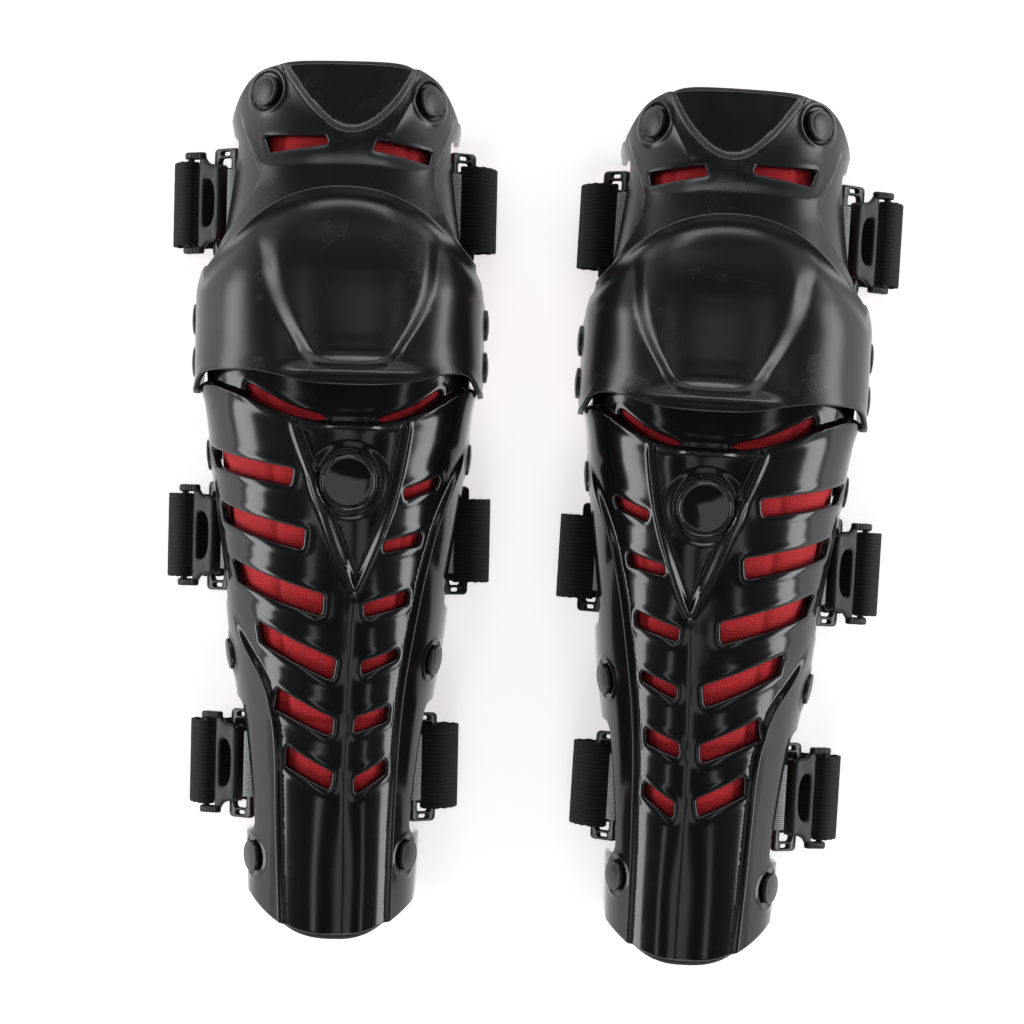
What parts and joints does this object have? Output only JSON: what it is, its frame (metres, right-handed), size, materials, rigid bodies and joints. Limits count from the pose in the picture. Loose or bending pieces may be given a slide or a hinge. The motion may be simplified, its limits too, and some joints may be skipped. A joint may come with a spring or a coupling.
{
  "type": "knee and shin guard pair",
  "caption": "Hinged knee and shin guards with vented gloss shin shells, satin knee cups and thigh shells, red mesh liners and hook-buckle straps.",
  "frame": {"origin": "centre of the pair's bounding box on the surface they lie on", "axes": "+Y up the legs from ankle end to thigh end, +X from the guard with its buckles on minus X to the other guard, +Z out of the shins"},
  "size_m": [0.4105, 0.4944, 0.12],
  "materials": {
    "gloss_black": "gloss",
    "satin_black": "satin",
    "badge_black": "gloss",
    "cap_black": "satin",
    "washer_black": "matte",
    "red_mesh_pad": "mesh",
    "grey_webbing": "woven",
    "elastic_strap": "woven",
    "ring_black": "satin",
    "buckle_black": "satin"
  },
  "bodies": {
    "right_shin": {"right_shin_shell": "gloss_black", "right_shin_badge": "badge_black", "right_shin_pad": "red_mesh_pad", "right_shin_rivet_caps": "cap_black", "right_shin_rivet_washers": "washer_black", "right_shin_webbing_tabs": "grey_webbing", "right_middle_strap": "elastic_strap", "right_lower_strap": "elastic_strap"},
    "right_knee": {"right_knee_cup": "satin_black", "right_knee_pad": "red_mesh_pad", "right_pivot_rivets_upper": "cap_black", "right_pivot_rivets_lower": "cap_black"},
    "right_thigh": {"right_thigh_shell": "satin_black", "right_thigh_pad": "red_mesh_pad", "right_thigh_rivet_caps": "cap_black", "right_thigh_rivet_washers": "washer_black", "right_thigh_webbing_tabs": "grey_webbing", "right_upper_strap": "elastic_strap"},
    "right_upper_outer_ring": {"right_upper_outer_ring": "ring_black"},
    "right_upper_inner_ring": {"right_upper_inner_ring": "ring_black"},
    "right_upper_hook_buckle": {"right_upper_hook_buckle": "buckle_black"},
    "right_middle_outer_ring": {"right_middle_outer_ring": "ring_black"},
    "right_middle_inner_ring": {"right_middle_inner_ring": "ring_black"},
    "right_middle_hook_buckle": {"right_middle_hook_buckle": "buckle_black"},
    "right_lower_outer_ring": {"right_lower_outer_ring": "ring_black"},
    "right_lower_inner_ring": {"right_lower_inner_ring": "ring_black"},
    "right_lower_hook_buckle": {"right_lower_hook_buckle": "buckle_black"},
    "left_shin": {"left_shin_shell": "gloss_black", "left_shin_badge": "badge_black", "left_shin_pad": "red_mesh_pad", "left_shin_rivet_caps": "cap_black", "left_shin_rivet_washers": "washer_black", "left_shin_webbing_tabs": "grey_webbing", "left_middle_strap": "elastic_strap", "left_lower_strap": "elastic_strap"},
    "left_knee": {"left_knee_cup": "satin_black", "left_knee_pad": "red_mesh_pad", "left_pivot_rivets_upper": "cap_black", "left_pivot_rivets_lower": "cap_black"},
    "left_thigh": {"left_thigh_shell": "satin_black", "left_thigh_pad": "red_mesh_pad", "left_thigh_rivet_caps": "cap_black", "left_thigh_rivet_washers": "washer_black", "left_thigh_webbing_tabs": "grey_webbing", "left_upper_strap": "elastic_strap"},
    "left_upper_outer_ring": {"left_upper_outer_ring": "ring_black"},
    "left_upper_inner_ring": {"left_upper_inner_ring": "ring_black"},
    "left_upper_hook_buckle": {"left_upper_hook_buckle": "buckle_black"},
    "left_middle_outer_ring": {"left_middle_outer_ring": "ring_black"},
    "left_middle_inner_ring": {"left_middle_inner_ring": "ring_black"},
    "left_middle_hook_buckle": {"left_middle_hook_buckle": "buckle_black"},
    "left_lower_outer_ring": {"left_lower_outer_ring": "ring_black"},
    "left_lower_inner_ring": {"left_lower_inner_ring": "ring_black"},
    "left_lower_hook_buckle": {"left_lower_hook_buckle": "buckle_black"}
  },
  "joints": [
    {"name": "right_knee_pivot", "type": "hinge", "parent": "right_shin", "child": "right_knee", "pos_m": [-0.1071, 0.08227, 0.042], "axis": [-0.9998, 0.0209, 0], "range_deg": [0, 25]},
    {"name": "right_thigh_pivot", "type": "hinge", "parent": "right_knee", "child": "right_thigh", "pos_m": [-0.10662, 0.10527, 0.045], "axis": [-0.9998, 0.0209, 0], "range_deg": [0, 40]},
    {"name": "right_upper_outer_ring_swing", "type": "hinge", "parent": "right_thigh", "child": "right_upper_outer_ring", "pos_m": [-0.16509, 0.17151, 0.04], "axis": [0.0209, 0.9998, 0], "range_deg": [-6, 6]},
    {"name": "right_upper_inner_ring_swing", "type": "hinge", "parent": "right_thigh", "child": "right_upper_inner_ring", "pos_m": [-0.04543, 0.169, 0.04], "axis": [0.0209, 0.9998, 0], "range_deg": [-4.5, 4.5]},
    {"name": "right_upper_hook_buckle_flip", "type": "hinge", "parent": "right_thigh", "child": "right_upper_hook_buckle", "pos_m": [-0.19047, 0.17204, 0.02883], "axis": [-0.0209, -0.9998, 0], "range_deg": [0, 100]},
    {"name": "right_middle_outer_ring_swing", "type": "hinge", "parent": "right_shin", "child": "right_middle_outer_ring", "pos_m": [-0.16882, -0.01145, 0.035], "axis": [0.0209, 0.9998, 0], "range_deg": [-6, 6]},
    {"name": "right_middle_inner_ring_swing", "type": "hinge", "parent": "right_shin", "child": "right_middle_inner_ring", "pos_m": [-0.04936, -0.01396, 0.035], "axis": [0.0209, 0.9998, 0], "range_deg": [-4.5, 4.5]},
    {"name": "right_middle_hook_buckle_flip", "type": "hinge", "parent": "right_shin", "child": "right_middle_hook_buckle", "pos_m": [-0.1942, -0.01092, 0.02383], "axis": [-0.0209, -0.9998, 0], "range_deg": [0, 100]},
    {"name": "right_lower_outer_ring_swing", "type": "hinge", "parent": "right_shin", "child": "right_lower_outer_ring", "pos_m": [-0.15625, -0.13675, 0.037], "axis": [0.0209, 0.9998, 0], "range_deg": [-6, 6]},
    {"name": "right_lower_inner_ring_swing", "type": "hinge", "parent": "right_shin", "child": "right_lower_inner_ring", "pos_m": [-0.06716, -0.13861, 0.037], "axis": [0.0209, 0.9998, 0], "range_deg": [-4.5, 4.5]},
    {"name": "right_lower_hook_buckle_flip", "type": "hinge", "parent": "right_shin", "child": "right_lower_hook_buckle", "pos_m": [-0.18163, -0.13621, 0.02583], "axis": [-0.0209, -0.9998, 0], "range_deg": [0, 100]},
    {"name": "left_knee_pivot", "type": "hinge", "parent": "left_shin", "child": "left_knee", "pos_m": [0.10234, 0.06734, 0.042], "axis": [-0.998, 0.0628, 0], "range_deg": [0, 25]},
    {"name": "left_thigh_pivot", "type": "hinge", "parent": "left_knee", "child": "left_thigh", "pos_m": [0.10378, 0.0903, 0.045], "axis": [-0.998, 0.0628, 0], "range_deg": [0, 40]},
    {"name": "left_upper_outer_ring_swing", "type": "hinge", "parent": "left_thigh", "child": "left_upper_outer_ring", "pos_m": [0.16759, 0.15141, 0.04], "axis": [0.0628, 0.998, 0], "range_deg": [-6, 6]},
    {"name": "left_upper_inner_ring_swing", "type": "hinge", "parent": "left_thigh", "child": "left_upper_inner_ring", "pos_m": [0.04814, 0.15893, 0.04], "axis": [0.0628, 0.998, 0], "range_deg": [-4.5, 4.5]},
    {"name": "left_upper_hook_buckle_flip", "type": "hinge", "parent": "left_thigh", "child": "left_upper_hook_buckle", "pos_m": [0.19293, 0.14982, 0.02883], "axis": [0.0628, 0.998, 0], "range_deg": [0, 100]},
    {"name": "left_middle_outer_ring_swing", "type": "hinge", "parent": "left_shin", "child": "left_middle_outer_ring", "pos_m": [0.156, -0.03122, 0.035], "axis": [0.0628, 0.998, 0], "range_deg": [-6, 6]},
    {"name": "left_middle_inner_ring_swing", "type": "hinge", "parent": "left_shin", "child": "left_middle_inner_ring", "pos_m": [0.03675, -0.02372, 0.035], "axis": [0.0628, 0.998, 0], "range_deg": [-4.5, 4.5]},
    {"name": "left_middle_hook_buckle_flip", "type": "hinge", "parent": "left_shin", "child": "left_middle_hook_buckle", "pos_m": [0.18134, -0.03282, 0.02383], "axis": [0.0628, 0.998, 0], "range_deg": [0, 100]},
    {"name": "left_lower_outer_ring_swing", "type": "hinge", "parent": "left_shin", "child": "left_lower_outer_ring", "pos_m": [0.13299, -0.15502, 0.037], "axis": [0.0628, 0.998, 0], "range_deg": [-6, 6]},
    {"name": "left_lower_inner_ring_swing", "type": "hinge", "parent": "left_shin", "child": "left_lower_inner_ring", "pos_m": [0.04406, -0.14943, 0.037], "axis": [0.0628, 0.998, 0], "range_deg": [-4.5, 4.5]},
    {"name": "left_lower_hook_buckle_flip", "type": "hinge", "parent": "left_shin", "child": "left_lower_hook_buckle", "pos_m": [0.15833, -0.15662, 0.02583], "axis": [0.0628, 0.998, 0], "range_deg": [0, 100]},
    {"name": "pair_lift", "type": "slide", "parent": "right_shin", "child": "left_shin", "axis": [0, 0, 1], "range_m": [0, 0.3]}
  ]
}
